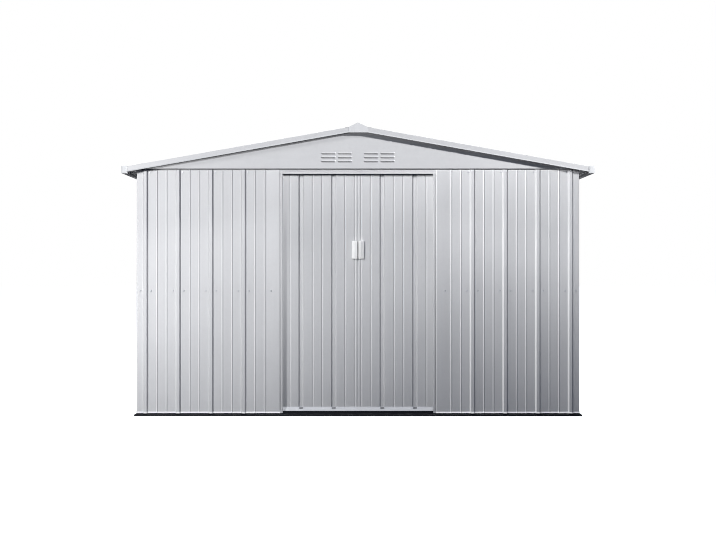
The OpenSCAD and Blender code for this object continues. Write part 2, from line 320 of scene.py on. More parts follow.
def bump(nt, heights, normal=None):
    """heights: (socket, distance in metres, strength)."""
    last = normal
    for h, dist, strength in heights:
        b = add(nt, "ShaderNodeBump")
        b.inputs["Distance"].default_value = dist
        b.inputs["Strength"].default_value = strength
        nt.links.new(h, b.inputs["Height"])
        if last is not None:
            nt.links.new(last, b.inputs["Normal"])
        last = b.outputs["Normal"]
    return last


def steel(name, base, metallic, rough, uv=True, spangle=0.02, streak=0.02, along=(1, 1, 1)):
    """Coated or bare galvanised steel: rolling streaks, faint spangle and soft mottling."""
    m, nt, b = nodes_of(name)
    tc = add(nt, "ShaderNodeTexCoord")
    obj = tc.outputs["Object"]
    vec = tc.outputs["UV"] if uv else obj
    lines = noise(nt, stretch(nt, vec, (1.0, 0.012, 1.0) if uv else along), 260.0, 4.0, 0.6)
    broad = noise(nt, stretch(nt, vec, (1.0, 0.10, 1.0) if uv else along), 14.0, 3.0)
    cloud = noise(nt, obj, 2.3, 4.0)
    fine = noise(nt, obj, 900.0, 2.0)
    vor = add(nt, "ShaderNodeTexVoronoi", feature="F1")
    vor.inputs["Scale"].default_value = 70.0
    vor.inputs["Randomness"].default_value = 1.0
    nt.links.new(vec, vor.inputs["Vector"])
    sep = add(nt, "ShaderNodeSeparateColor")
    nt.links.new(vor.outputs["Color"], sep.inputs[0])
    cell = sep.outputs[0]
    gain = math2(nt, "ADD", ramp(nt, lines, 0.3, 0.7, 1 - streak, 1 + streak), ramp(nt, cell, 0, 1, -spangle, spangle))
    gain = math2(nt, "ADD", gain, ramp(nt, cloud, 0.3, 0.7, -0.022, 0.022))
    gain = math2(nt, "ADD", gain, ramp(nt, broad, 0.3, 0.7, -0.012, 0.012))
    col = tint(nt, base, gain)
    nt.links.new(col, b.inputs["Base Color"])
    r = math2(nt, "ADD", ramp(nt, lines, 0.3, 0.7, rough - 0.03, rough + 0.03), ramp(nt, cell, 0, 1, -0.025, 0.035))
    nt.links.new(r, b.inputs["Roughness"])
    b.inputs["Metallic"].default_value = metallic
    n = bump(nt, [(lines, 0.00012, 0.35), (fine, 0.00004, 0.5), (broad, 0.0005, 0.12)])
    nt.links.new(n, b.inputs["Normal"])
    return m


def plastic(name, base, rough, grain=0.35):
    m, nt, b = nodes_of(name)
    tc = add(nt, "ShaderNodeTexCoord")
    obj = tc.outputs["Object"]
    cloud = noise(nt, obj, 30.0, 4.0)
    fine = noise(nt, obj, 1400.0, 2.0)
    nt.links.new(tint(nt, base, ramp(nt, cloud, 0.3, 0.7, 0.97, 1.02)), b.inputs["Base Color"])
    nt.links.new(ramp(nt, cloud, 0.3, 0.7, rough - 0.05, rough + 0.06), b.inputs["Roughness"])
    nt.links.new(bump(nt, [(fine, 0.00006, grain)]), b.inputs["Normal"])
    b.inputs["IOR"].default_value = 1.49
    return m


def black_steel(name):
    m, nt, b = nodes_of(name)
    tc = add(nt, "ShaderNodeTexCoord")
    obj = tc.outputs["Object"]
    cloud = noise(nt, obj, 22.0, 5.0, 0.65)
    scuff = noise(nt, stretch(nt, obj, (1.0, 1.0, 6.0)), 90.0, 5.0, 0.7)
    peel = noise(nt, obj, 700.0, 2.0)
    soft = ramp(nt, cloud, 0.50, 0.85, 0.0, 0.03)
    fleck = ramp(nt, scuff, 0.68, 0.82, 0.0, 0.02)
    col = mix(nt, soft, (0.011, 0.012, 0.016), (0.10, 0.10, 0.10))
    col = mix(nt, fleck, col, (0.20, 0.20, 0.20))
    nt.links.new(col, b.inputs["Base Color"])
    nt.links.new(ramp(nt, cloud, 0.3, 0.8, 0.38, 0.60), b.inputs["Roughness"])
    b.inputs["Specular IOR Level"].default_value = 0.30
    nt.links.new(bump(nt, [(peel, 0.00006, 0.5)]), b.inputs["Normal"])
    return m


M_SHEET = steel("sheet_steel", (0.62, 0.622, 0.63), 0.22, 0.50, spangle=0.010, streak=0.014)
M_GABLE = steel("gable_steel", (0.62, 0.622, 0.63), 0.22, 0.50, spangle=0.010, streak=0.014)
M_ROOF = steel("roof_steel", (0.62, 0.622, 0.63), 0.22, 0.50, spangle=0.010, streak=0.014)
M_TRIM = steel("trim_steel", (0.62, 0.622, 0.63), 0.20, 0.46, spangle=0.008, streak=0.010)
M_FRAME = steel("frame_steel", (0.52, 0.53, 0.55), 0.75, 0.46, uv=False, spangle=0.06, streak=0.02, along=(1.0, 1.0, 0.25))
M_FRAMEUV = steel("rail_steel", (0.64, 0.65, 0.67), 0.25, 0.42, spangle=0.015, streak=0.015)
M_SCREW = steel("screw_steel", (0.60, 0.61, 0.63), 0.55, 0.40, uv=False, spangle=0.0, streak=0.03)
M_CAP = plastic("cap_plastic", (0.68, 0.69, 0.70), 0.42)
M_ENDCAP = plastic("end_cap_plastic", (0.62, 0.625, 0.635), 0.46)
M_WHITE = plastic("handle_white", (0.83, 0.83, 0.82), 0.33, 0.25)
M_NYLON = plastic("glide_nylon", (0.66, 0.66, 0.64), 0.50)
M_RUBBER = plastic("washer_rubber", (0.30, 0.305, 0.31), 0.6)
# near-black rubber used as painted shade: the stops at the channel feet and the strip between the pulls
M_SHADE_BLACK = plastic("shade_black_rubber", (0.022, 0.023, 0.027), 0.7)
M_BLACK = black_steel("sill_black")


# ---------------------------------------------------------------- camera, in the making first
cam_data = bpy.data.cameras.new("camera")
cam = bpy.data.objects.new("camera", cam_data)
bpy.context.scene.collection.objects.link(cam)
cam_data.sensor_width = 36.0
cam_data.lens = 55.54
cam.location = (0.0, -(HD * MM) - 7.5, 0.99)
cam.rotation_euler = (math.radians(90), 0, 0)
cam_data.clip_start, cam_data.clip_end = 0.1, 400
bpy.context.scene.camera = cam


# ---------------------------------------------------------------- wall sheets
def hem(w, z0, z1):
    """The lower edge kicks out and the top edge leans in."""
    d = 0.0
    if w < z0 + 10:
        d += 6.0 * ((z0 + 10 - w) / 10) ** 1.35
    if w > z1 - 8:
        d -= 3.2 * ((w - (z1 - 8)) / 8) ** 1.3
    return d


def wall_stations(z0, z1, step=90):
    return [z0, z0 + 2.5, z0 + 5.0, z0 + 7.5, z0 + 10, z0 + 11.5] + spread(z0 + 30, z1 - 20, step) + [z1 - 10, z1 - 7, z1 - 4, z1]


def wall(name, line, place, body, mat, replaces, seed, z0=WALL_Z0, z1=WALL_Z1, amp=0.5, rad=3.0, hems=True):
    wob = wobble(amp, 0, 0, seed)

    def shift(u, v, w):
        return wob(u, w, z0, z1) + (hem(w, z0, z1) if hems else 0.0)
    bm = bmesh.new()
    add_sheet(bm, fillet(line, rad, 3), wall_stations(z0, z1), place, shift=shift, side=-1.0)
    return finish_mesh(name, bm, body, mat, replaces)


lap = 18.0
front_line = [(-HW - 1.7, -22.0), (-HW - 1.7, 0.0)] + ribs(-HW, -HALF_DOOR - 104, PITCH / 2, 1) + [
    (-HALF_DOOR - 104, 0.0), (-HALF_DOOR - 60, 1.6), (-HALF_DOOR - lap - 5, 2.6), (-HALF_DOOR - lap, 1.6)]
wall("front_wall_left.sheet", front_line, on_front, "root", M_SHEET, ("front_wall_left",), 3)
wall("front_wall_right.sheet", front_line, lambda u, v, w: on_front(-u, v, w), "root", M_SHEET, ("front_wall_right",), 4)
back_line = [(-HW - 1.7, -22.0), (-HW - 1.7, 0.0)] + ribs(-HW, HW, PITCH / 2, 1) + [(HW + 1.7, 0.0), (HW + 1.7, -22.0)]
wall("back_wall.sheet", back_line, on_back, "root", M_SHEET, ("back_wall",), 5)
side_line = [(-HD + 1, 0.0)] + ribs(-HD + 1, HD - 1, 0.0, 1) + [(HD - 1, 0.0)]
side_z1 = span("left_wall")[1][2]
wall("left_wall.sheet", side_line, on_left, "root", M_SHEET, ("left_wall",), 6, z1=side_z1)
wall("right_wall.sheet", side_line, on_right, "root", M_SHEET, ("right_wall",), 7, z1=side_z1)


# ---------------------------------------------------------------- roof sheets
def roof_place(sign):
    def f(u, v, w):
        x = w * CA + v * SA
        return (sign * x, u, ROOF_U - w * SA + v * CA)
    return f


ry = VERGE_Y - 3
roof_line = [(-ry, T)] + [(a, b + T) for a, b in ribs(-ry, ry, 0.0, 1)] + [(ry, T)]
roof_end = (EAVE_X - 7) / CA
for sign, side_name, seed in ((1, "right", 21), (-1, "left", 22)):
    bm = bmesh.new()
    wob = wobble(0.6, 0, 0, seed)
    add_sheet(bm, fillet(roof_line, 3.0, 3), [2.5] + spread(30, roof_end - 20, 110) + [roof_end], roof_place(sign),
              shift=lambda u, v, w: wob(u, w, 0, roof_end))
    finish_mesh("roof_%s.sheet" % side_name, bm, "root", M_ROOF, ("roof_%s" % side_name,))


# ---------------------------------------------------------------- gables
VENT_X = (-201.0, -89.0, 89.0, 201.0)
VENT_Z = (1725.1, 1752.1, 1779.1)
VENT_W, VENT_H = 95.0, 11.0


def slot_loop(cx, cz, w, h, seg=6):
    r = h / 2
    pts = []
    for k in range(seg + 1):
        a = -math.pi / 2 + math.pi * k / seg
        pts.append((cx + w / 2 - r + r * math.cos(a), cz + r * math.sin(a)))
    for k in range(seg + 1):
        a = math.pi / 2 + math.pi * k / seg
        pts.append((cx - w / 2 + r + r * math.cos(a), cz + r * math.sin(a)))
    return pts


def gable(name, place, replaces, sgn):
    top = ROOF_U - 4
    eave = top - TA * HW
    z0 = GABLE_Z + 4.0
    outline = [(-HW, z0), (HW, z0), (HW, eave + 0.0), (0, top), (-HW, eave + 0.0)]
    verts, edges, faces = [], [], []
    loops = [outline] + [slot_loop(x, z, VENT_W, VENT_H) for x in VENT_X for z in VENT_Z]
    for lp in loops:
        s = len(verts)
        verts += [Vector(p) for p in lp]
        edges += [(s + i, s + (i + 1) % len(lp)) for i in range(len(lp))]
    vo, eo, fo, ov, oe, of = delaunay_2d_cdt(verts, edges, [], 1, 1e-4)

    def in_slot(c):
        for x in VENT_X:
            for z in VENT_Z:
                if abs(c.x - x) < VENT_W / 2 and abs(c.y - z) < VENT_H / 2:
                    r = VENT_H / 2
                    dx = max(0.0, abs(c.x - x) - (VENT_W / 2 - r))
                    if dx * dx + (c.y - z) ** 2 < r * r * 0.995:
                        return True
        return False
    bm = bmesh.new()
    uvl = bm.loops.layers.uv.verify()
    vs = [bm.verts.new([q * MM for q in place(p.x, GABLE_V, p.y)]) for p in vo]
    for f in fo:
        c = sum((vo[i] for i in f), Vector((0, 0))) / len(f)
        if in_slot(c):
            continue
        try:
            nf = bm.faces.new([vs[i] for i in f])
        except ValueError:
            continue
        for loop, i in zip(nf.loops, f):
            loop[uvl].uv = (vo[i].y * MM, vo[i].x * MM)
    loose = [v for v in bm.verts if not v.link_faces]
    bmesh.ops.delete(bm, geom=loose, context="VERTS")
    bmesh.ops.recalc_face_normals(bm, faces=bm.faces)
    # thickness
    geo = bmesh.ops.extrude_face_region(bm, geom=bm.faces[:])
    back = -T * MM * sgn
    for v in [g for g in geo["geom"] if isinstance(g, bmesh.types.BMVert)]:
        v.co.y += -back
    # folded lower edge: rolls in under the sheet
    edge = fillet([(GABLE_V, z0 + 0.01), (GABLE_V, GABLE_Z + 0.3), (GABLE_V - 11, GABLE_Z + 0.3)], 1.5, 4)
    add_sheet(bm, edge, [-HW, HW], lambda u, v, w: place(w, u, v), t=T, side=-1.0)
    # pressed hoods
    for cx in VENT_X:
        for cz in VENT_Z:
            nu, ns = 22, 8
            grid = []
            for j in range(ns + 1):
                s = j / ns
                row = []
                for i in range(nu + 1):
                    a = -1 + 2 * i / nu
                    a = math.copysign(abs(a) ** 0.8, a)
                    cap = (1 - abs(a) ** 7) ** 0.5
                    v = 4.6 * cap * math.sin(s * math.pi / 2) ** 1.1
                    z = 11.5 - 9.0 * s - 2.1 * s * s * cap - (1 - cap) * 1.0 * s
                    row.append((cx + a * (VENT_W / 2 + 3.0), GABLE_V + v - 0.15, cz + z))
                grid.append(row)
            for layer, dv in ((0, 0.0), (1, -0.8)):
                vv = [[bm.verts.new([q * MM for q in place(p[0], p[1] + dv, p[2])]) for p in row] for row in grid]
                if layer == 0:
                    first = vv
                for j in range(ns):
                    for i in range(nu):
                        f = bm.faces.new((vv[j][i], vv[j][i + 1], vv[j + 1][i + 1], vv[j + 1][i]))
                        for loop, q in zip(f.loops, ((i, j), (i + 1, j), (i + 1, j + 1), (i, j + 1))):
                            loop[uvl].uv = (q[1] * 0.002 + cz * MM, q[0] * 0.0046 + cx * MM)
            ring0 = first[0] + [r[-1] for r in first[1:]] + first[-1][-2::-1] + [r[0] for r in first[-2:0:-1]]
            ring1 = vv[0] + [r[-1] for r in vv[1:]] + vv[-1][-2::-1] + [r[0] for r in vv[-2:0:-1]]
            for i in range(len(ring0)):
                k = (i + 1) % len(ring0)
                bm.faces.new((ring0[i], ring0[k], ring1[k], ring1[i]))
    return finish_mesh(name, bm, "root", M_GABLE, replaces, angle=40)


gable("front_gable.sheet", on_front, ("front_gable",), -1)
gable("back_gable.sheet", on_back, ("back_gable",), 1)


# ---------------------------------------------------------------- roof trims
ROOF_HI, DROP = 13.4, 22.8


def trim_z(x):
    return ROOF_U + ROOF_HI / CA - TA * x


verge_line = fillet([(-33.0, ROOF_HI - 1.6), (-31.0, ROOF_HI), (0.0, ROOF_HI), (0.0, -DROP + 7.6), (3.5, -DROP + 1.4),
                     (2.8, -DROP), (-9.0, -DROP), (-9.0, -DROP + 5.0)], [0, 1.0, 2.4, 1.5, 0.9, 0.9, 1.5, 0], 4)
eave_start, eave_stop = 60.0, (EAVE_X - 36) / CA
for sx, xn in ((1, "right"), (-1, "left")):
    for sy, yn in ((-1, "front"), (1, "back")):
        bm = bmesh.new()

        def place(u, v, w, sx=sx, sy=sy):
            # u outwards past the verge face, v square to the roof, w down the slope
            x = w * CA + v * SA
            return (sx * x, sy * (VERGE_Y + u), ROOF_U - w * SA + v * CA)
        add_sheet(bm, verge_line, spread(eave_start, eave_stop, 130), place, t=0.9, side=-1.0)
        # the face alone runs on past the eave trim
        face = fillet([(0.0, ROOF_HI - 0.4), (0.0, -DROP + 7.6), (3.5, -DROP + 1.4), (2.8, -DROP)], [0, 1.5, 0.9, 0], 4)
        add_sheet(bm, face, [eave_stop - 0.5, (EAVE_X - 1.5) / CA - 1.0], place, t=0.9, side=-1.0)
        n = "verge_%s_%s" % (yn, xn)
        finish_mesh(n + ".trim", bm, "root", M_TRIM, (n,))

    b = trim_z(EAVE_X) - 42
    line = fillet([(EAVE_X - 32, trim_z(EAVE_X - 32)), (EAVE_X, trim_z(EAVE_X)), (EAVE_X, b + 9), (EAVE_X + 1.4, b + 3), (EAVE_X + 0.8, b),
                   (EAVE_X - 22, b), (EAVE_X - 22, b + 9)], [0, 2.6, 4.0, 1.2, 1.2, 1.8, 0], 4)
    bm = bmesh.new()
    add_sheet(bm, line, spread(-(VERGE_Y - 1.5), VERGE_Y - 1.5, 160), lambda u, v, w, sx=sx: (sx * u, w, v), t=0.9, side=-1.0)
    finish_mesh("eave_trim_%s.trim" % xn, bm, "root", M_TRIM, ("eave_trim_%s" % xn,))

# ridge cap
apex = RIDGE_TOP + 2.0
half = [(94.0, trim_z(94) + 1.3), (63.0, trim_z(63) + 1.3), (30.0, apex - (apex - trim_z(63) - 1.3) * 30 / 63)]
cap_pts = [(-a, b) for a, b in half] + [(0.0, apex)] + half[::-1]
cap_line = fillet(cap_pts, [0, 9, 0, 10, 0, 9, 0], 5)
cap_line = [(a, min(b, RIDGE_TOP)) for a, b in cap_line]
bm = bmesh.new()
add_sheet(bm, cap_line, spread(-(VERGE_Y - 0.5), VERGE_Y - 0.5, 200), lambda u, v, w: (u, w, v), t=1.1, side=-1.0)
finish_mesh("ridge_cap.trim", bm, "root", M_TRIM, ("ridge_cap",))


def plate(bm, loop, depth0, depth1, place, round_r=1.0):
    """A plate with a softened front rim: loop is its outline, from depth0 (back) to depth1 (front)."""
    c = Vector((sum(p[0] for p in loop) / len(loop), sum(p[1] for p in loop) / len(loop)))
    rings = []
    sgn = 1 if depth1 > depth0 else -1
    for k, (inset, d) in enumerate(((0.0, depth0), (0.0, depth1 - sgn * round_r), (round_r * 0.3, depth1 - sgn * round_r * 0.3), (round_r, depth1))):
        ring = []
        for p in loop:
            q = Vector(p)
            v = (c - q)
            q2 = q + v.normalized() * inset
            ring.append(bm.verts.new([s * MM for s in place(q2.x, d, q2.y)]))
        rings.append(ring)
    n = len(loop)
    for a, b2 in zip(rings, rings[1:]):
        for i in range(n):
            bm.faces.new((a[i], a[(i + 1) % n], b2[(i + 1) % n], b2[i]))
    bm.faces.new(rings[-1])
    bm.faces.new(rings[0][::-1])


# ridge end caps: a moulded face with a kicked-out lower lip
for sy, nm in ((-1, "front"), (1, "back")):
    bm = bmesh.new()
    z0 = ROOF_U - DROP / CA - TA * 64
    loop = [(-62.0, z0 + 6.5), (62.0, z0 + 6.5), (64.0, z0 + 8.5), (64.0, trim_z(64) - 2.0)]
    loop += [(a, b - 0.2) for a, b in cap_line[::-1] if abs(a) < 63.5] + [(-64.0, trim_z(64) - 2.0), (-64.0, z0 + 8.5)]
    plate(bm, loop, VERGE_Y - 3.0, VERGE_Y + 1.3, lambda u, d, v, sy=sy: (u, sy * d, v), 0.7)
    lip = fillet([(0.3, z0 + 8), (0.3, z0 + 7.2), (3.7, z0 + 1.4), (3.0, z0), (-6.0, z0)], [0, 1.2, 0.9, 0.9, 0], 4)
    add_sheet(bm, lip, [-62.5, 62.5], lambda u, v, w, sy=sy: (w, sy * (VERGE_Y + u), v), t=0.9, side=-1.0)
    if sy < 0:
        ends = finish_mesh("ridge_end_cap_%s.cap" % nm, bm, "root", M_ENDCAP, (), angle=40)
    else:
        other = finish_mesh("ridge_end_cap_%s.cap" % nm, bm, "root", M_ENDCAP, (), angle=40)
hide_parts("ridge_end_caps")
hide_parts("ridge_end_caps")


# ---------------------------------------------------------------- doorway: jambs and header
jamb_feet, jamb_meshes = [], []
for s, nm in ((1, "left"), (-1, "right")):
    x = HALF_DOOR
    line = fillet([(-x - 71, -4.0), (-x - 14.5, -4.0), (-x - 11.0, 1.8), (-x, 1.8), (-x, -25.0), (-x - 14, -25.0), (-x - 14, -21)],
                  [0, 1.6, 1.4, 1.8, 1.6, 1.4, 0], 3)
    bm = bmesh.new()
    # the back of the jamb is notched at the foot, where the door's lower rail runs past
    notch = RAIL_Z0 + 38.0
    low_line = fillet([(-x - 71, -4.0), (-x - 14.5, -4.0), (-x - 11.0, 1.8), (-x, 1.8), (-x, -12.0)], [0, 1.6, 1.4, 1.8, 0], 3)
    add_sheet(bm, low_line, [jamb_lo[2], notch], lambda u, v, w, s=s: on_front(s * u, v, w), t=1.1, side=-1.0)
    add_sheet(bm, line, spread(notch, jamb_hi[2], 200), lambda u, v, w, s=s: on_front(s * u, v, w), t=1.1, side=-1.0)
    inner = fillet([(-x - 71, -4.0), (-x - 71, -25.0), (-x - 60, -25.0)], 1.6, 3)
    add_sheet(bm, inner, spread(notch, jamb_hi[2], 200), lambda u, v, w, s=s: on_front(s * u, v, w), t=1.1, side=1.0)
    foot = jamb_lo[2] + 2.0 - (WALL_Z0 - 0.4)
    jamb_feet.append((s, -x - 10.2, WALL_Z0 - 0.4 + foot / 2, 20.4, foot))
    jamb_meshes.append(("door_jamb_%s.jamb" % nm, bm, "door_jamb_%s" % nm))

z0, z1 = HEAD_Z0, HEAD_Z1
head = fillet([(-24.0, z0 + 9), (-24.0, z0), (-1.2, z0), (-1.2, z0 + 13.5), (-3.0, z0 + 15.5), (-3.0, z0 + 17.5), (-1.5, z0 + 21.5),
               (-5.0, z0 + 30), (-18.0, z0 + 31), (-18.0, z1), (-24.0, z1), (-24.0, z1 - 9)],
              [0, 1.6, 0.7, 1.0, 0.8, 0.8, 1.0, 0.8, 2, 1.6, 1.6, 0], 3)
bm = bmesh.new()
add_sheet(bm, head, spread(-HW + 43, HW - 43, 240), lambda u, v, w: on_front(w, u, v), t=1.1, side=1.0)
finish_mesh("door_header.rail", bm, "root", M_TRIM, ("door_header",))


# ---------------------------------------------------------------- doors
def on_door(s):
    def f(u, v, w):
        return (s * u, DOOR_Y - v, w)
    return f


for s, nm, seed in ((1, "left", 31), (-1, "right", 32)):
    x0, x1 = -DOOR_OUT + 1, -0.3
    line = [(x0, 0.0)] + ribs(x0, -DOOR_IN - 1, -165.5, -1) + [(x1, 0.0), (x1, -9.0)]
    z0, z1 = door_lo[2], door_hi[2]
    bm = bmesh.new()
    wob = wobble(0.35, 0, 0, seed)
    z1 = HEAD_Z0 - 6.5
    add_sheet(bm, fillet(line, 3.0, 3), spread(z0, z1, 85), on_door(s), shift=lambda u, v, w: wob(u, w, z0, z1))
    finish_mesh("door_%s_sheet.sheet" % nm, bm, "door_" + nm, M_SHEET, ("door_%s_sheet" % nm,))

    # rails: the lower one wraps the sheet's edge and its front lip kicks out
    a, b = -DOOR_OUT, -DOOR_IN
    bm = bmesh.new()
    low = fillet([(-24.2, RAIL_Z0 + 30), (-24.2, RAIL_Z0), (10.0, RAIL_Z0), (10.2, RAIL_Z0 + 4), (1.7, RAIL_Z0 + 26), (1.15, RAIL_Z0 + 30)],
                 [0, 1.8, 1.2, 2, 5, 0], 4)
    add_sheet(bm, low, [a, b + 2.2], lambda u, v, w, s=s: (s * w, DOOR_Y - u, v), t=1.0, side=1.0)
    back = fillet([(-13.0, RAIL_Z0 + 30), (-13.0, RAIL_Z0 + 1.3), (-22.0, RAIL_Z0 + 1.3)], 1.4, 3)
    add_sheet(bm, back, [a + 1, b - 1], lambda u, v, w, s=s: (s * w, DOOR_Y - u, v), t=1.0, side=-1.0)
    high = fillet([(-12.9, HEAD_Z0 - 28), (-12.9, HEAD_Z0 - 12), (-21.5, HEAD_Z0 - 8), (-23.8, RAIL_Z1), (-9.0, RAIL_Z1), (-9.0, RAIL_Z1 - 5)],
                  [0, 1.2, 2.0, 1.8, 1.4, 0], 3)
    add_sheet(bm, high, [a, b + 2.2], lambda u, v, w, s=s: (s * w, DOOR_Y - u, v), t=1.0, side=1.0)
    gz = (GRIP_LO[2] + GRIP_HI[2]) / 2
    mid = fillet([(-24.0, gz - 12), (-24.0, gz - 20), (-13.0, gz - 20), (-13.0, gz + 20), (-24.0, gz + 20), (-24.0, gz + 12)], 1.6, 3)
    add_sheet(bm, mid, [a + 34.5, b - 34.5], lambda u, v, w, s=s: (s * w, DOOR_Y - u, v), t=1.0, side=1.0)
    finish_mesh("door_%s_rails.rail" % nm, bm, "door_" + nm, M_FRAMEUV, ("door_%s_rails" % nm,))


# ---------------------------------------------------------------- handles: a moulded pull on a foot plate
def rounded_rect(w, h, r, seg=6):
    pts = []
    for cx, cy, a0 in ((w / 2 - r, h / 2 - r, 0), (-w / 2 + r, h / 2 - r, 90), (-w / 2 + r, -h / 2 + r, 180), (w / 2 - r, -h / 2 + r, 270)):
        for k in range(seg + 1):
            a = math.radians(a0 + 90 * k / seg)
            pts.append((cx + r * math.cos(a), cy + r * math.sin(a)))
    return pts


def pad(bm, cx, cz, w, h, r, d0, d1, place, soft=1.2, dish=0.0):
    """A rounded slab from depth d0 to d1 with soft rims at both ends and a dished front."""
    rings = []
    steps = [(soft, d0), (soft * 0.3, d0 + soft * 0.3), (0, d0 + soft), (0, d1 - soft), (soft * 0.3, d1 - soft * 0.3), (soft, d1)]
    if dish:
        steps += [(soft + 3.0, d1 - dish * 0.35), (soft + 6.5, d1 - dish * 0.8), (soft + 10.0, d1 - dish)]
    for inset, d in steps:
        ring = []
        for x, z in rounded_rect(w - 2 * inset, h - 2 * inset, max(0.8, r - inset * 0.6)):
            ring.append(bm.verts.new([q * MM for q in place(cx + x, d, cz + z)]))
        rings.append(ring)
    n = len(rings[0])
    for p, q in zip(rings, rings[1:]):
        for i in range(n):
            bm.faces.new((p[i], p[(i + 1) % n], q[(i + 1) % n], q[i]))
    bm.faces.new(rings[-1])
    bm.faces.new(rings[0][::-1])


# the jambs' feet reach down over the ends of the tall part of the sill
for (s, cx, cz, w, h), (name, bm, node) in zip(jamb_feet, jamb_meshes):
    pad(bm, cx, cz, w, h, 0.9, 0.1, 1.7, lambda u, d, v, s=s: on_front(s * u, d, v), 0.5)
    finish_mesh(name, bm, "root", M_TRIM, (node,))

# small near-black stops in the lower door rails, under each channel: painted shade, standing in for the shadow at the
# foot of each channel
for s, nm in ((1, "left"), (-1, "right")):
    bm = bmesh.new()
    for cx in (-387.5, -165.5):
        pad(bm, cx, RAIL_Z0 + 22.0, 27.0, 6.0, 2.0, 0.6, 6.6, on_door(s), 0.7)
    finish_mesh("door_%s_stops.pads" % nm, bm, "door_" + nm, M_SHADE_BLACK)

# a near-black strip on the left door's edge, between the two pulls: painted shade, standing in for the shadowed gap
# between them
bm = bmesh.new()
pad(bm, -4.6, (GRIP_LO[2] + GRIP_HI[2]) / 2, 6.2, GRIP_HI[2] - GRIP_LO[2] - 8.0, 1.5, 0.4, 5.0, on_door(1), 0.7)
finish_mesh("door_left_shade_strip.pads", bm, "door_left", M_SHADE_BLACK)

# eave corner caps: moulded blocks that close the corner of the trims, with a raised panel on the face
bm = bmesh.new()
for sx in (-1, 1):
    for sy in (-1, 1):
        x1, y1 = EAVE_X + 4.0, VERGE_Y + 4.0
        z0, z1 = trim_z(EAVE_X) - 42.5, trim_z(EAVE_X - 34) + 3.3
        to = lambda u, d, v, sx=sx, sy=sy: (sx * u, sy * d, v)
        pad(bm, x1 - 19.0, (z0 + z1) / 2, 38.0, z1 - z0, 5.0, y1 - 38.0, y1 - 1.0, to, 2.6)
        pad(bm, x1 - 19.0, (z0 + z1) / 2, 25.0, z1 - z0 - 13.0, 4.0, y1 - 3.0, y1, to, 1.0)
finish_mesh("eave_corner_caps.cap", bm, "root", M_CAP, ("eave_corner_caps",), angle=50)


def grip(bm, place, x_in, x_out, gz, h):
    """The pull: a bar by the meeting edge that falls away outwards to a lower wing."""
    # depth over the width, from the meeting edge (0) to the outer edge (1)
    prof = fillet([(0.0, 13.0), (0.0, 24.2), (0.50, 24.2), (0.62, 19.6), (0.97, 17.0), (1.0, 13.0)], 0, 1)
    w = x_out - x_in
    prof = [(x_in + f * w, d) for f, d in ((0.0, 13.0), (0.0, 24.2), (0.52, 24.2), (0.70, 20.6), (1.0, 17.6), (1.0, 13.0))]
    prof = fillet(prof, [0, 1.8, 3.0, 4.0, 2.2, 0], 4)
    n = len(prof)
    zs = []
    half = h / 2
    for k, (dz, inset) in enumerate(((0.0, 2.6), (0.5, 1.2), (1.4, 0.4), (2.8, 0.0))):
        zs.append((-half + dz, inset))
    zs += [(z, 0.0) for z in spread(-half + 12, half - 12, 16)]
    zs += [(half - dz, inset) for dz, inset in ((2.8, 0.0), (1.4, 0.4), (0.5, 1.2), (0.0, 2.6))]
    rows = []
    for z, inset in zs:
        row = []
        for x, d in prof:
            dd = max(13.0, d - inset) if d > 13.01 else 13.0
            cx = (x_in + x_out) / 2
            xx = x + max(-inset, min(inset, (cx - x) * 0.5)) * 0.8
            row.append(bm.verts.new([q * MM for q in place(xx, dd, gz + z)]))
        rows.append(row)
    for a, b in zip(rows, rows[1:]):
        for i in range(n):
            k = (i + 1) % n
            bm.faces.new((a[i], a[k], b[k], b[i]))
    bm.faces.new(rows[0][::-1])
    bm.faces.new(rows[-1])


for s, nm in ((1, "left"), (-1, "right")):
    gz = (GRIP_LO[2] + GRIP_HI[2]) / 2
    h = GRIP_HI[2] - GRIP_LO[2]
    x_out, x_in = GRIP_LO[0], -3.6
    gx, w = (x_out + x_in) / 2, x_in - x_out
    place = lambda u, d, v, s=s: (s * u, DOOR_Y - d, v)
    bm = bmesh.new()
    pad(bm, gx, gz, w, h, 4.0, 0.1, 3.0, place, 0.8)
    for q in (-1, 1):
        pad(bm, gx, gz + q * (h / 2 - 8.0), w - 3.0, 13.0, 3.5, 2.0, 16.0, place, 0.8)
    grip(bm, place, x_in, x_out, gz, h)
    finish_mesh("door_%s_handle.grip" % nm, bm, "door_" + nm, M_WHITE, ("door_%s_handle" % nm,), angle=50)


# ---------------------------------------------------------------- screws
def screw(bm, c, n, up, r=5.2, h=3.2, washer=7.0):
    """A hex-washer-head screw: c is on the sheet, n points outwards."""
    n = Vector(n).normalized()
    up = Vector(up).normalized()
    side = n.cross(up)
    c = Vector(c)

    def ring(radius, d, count, turn=0.0):
        return [bm.verts.new((c + (side * math.cos(2 * math.pi * k / count + turn) + up * math.sin(2 * math.pi * k / count + turn)) * radius + n * d) * MM)
                for k in range(count)]

    def join(a, b):
        for i in range(len(a)):
            bm.faces.new((a[i], a[(i + 1) % len(a)], b[(i + 1) % len(b)], b[i]))
    k = 12
    a = ring(washer, -0.3, k)
    b = ring(washer, 0.7, k)
    c2 = ring(washer - 0.7, 1.2, k)
    d = ring(r * 0.98, 1.3, k)
    turn = random.random() * 6.28
    join(a, b)
    join(b, c2)
    join(c2, d)
    bm.faces.new(a[::-1])
    bm.faces.new(d)
    e = ring(r * 0.82, 1.25, 6, turn)
    f = ring(r * 0.82, h - 0.5, 6, turn)
    g = ring(r * 0.66, h, 6, turn)
    join(e, f)
    join(f, g)
    bm.faces.new(g)
    bm.faces.new(e[::-1])


def screw_piece(name, points, body):
    bm = bmesh.new()
    for c, n, up in points:
        screw(bm, c, n, up)
    return finish_mesh(name, bm, body, M_SCREW, (), angle=30)


def rib_centres(lo, hi, off):
    return [off + k * PITCH for k in range(-9, 10) if off + k * PITCH - 18 > lo + 1 and off + k * PITCH + 18 < hi - 1]


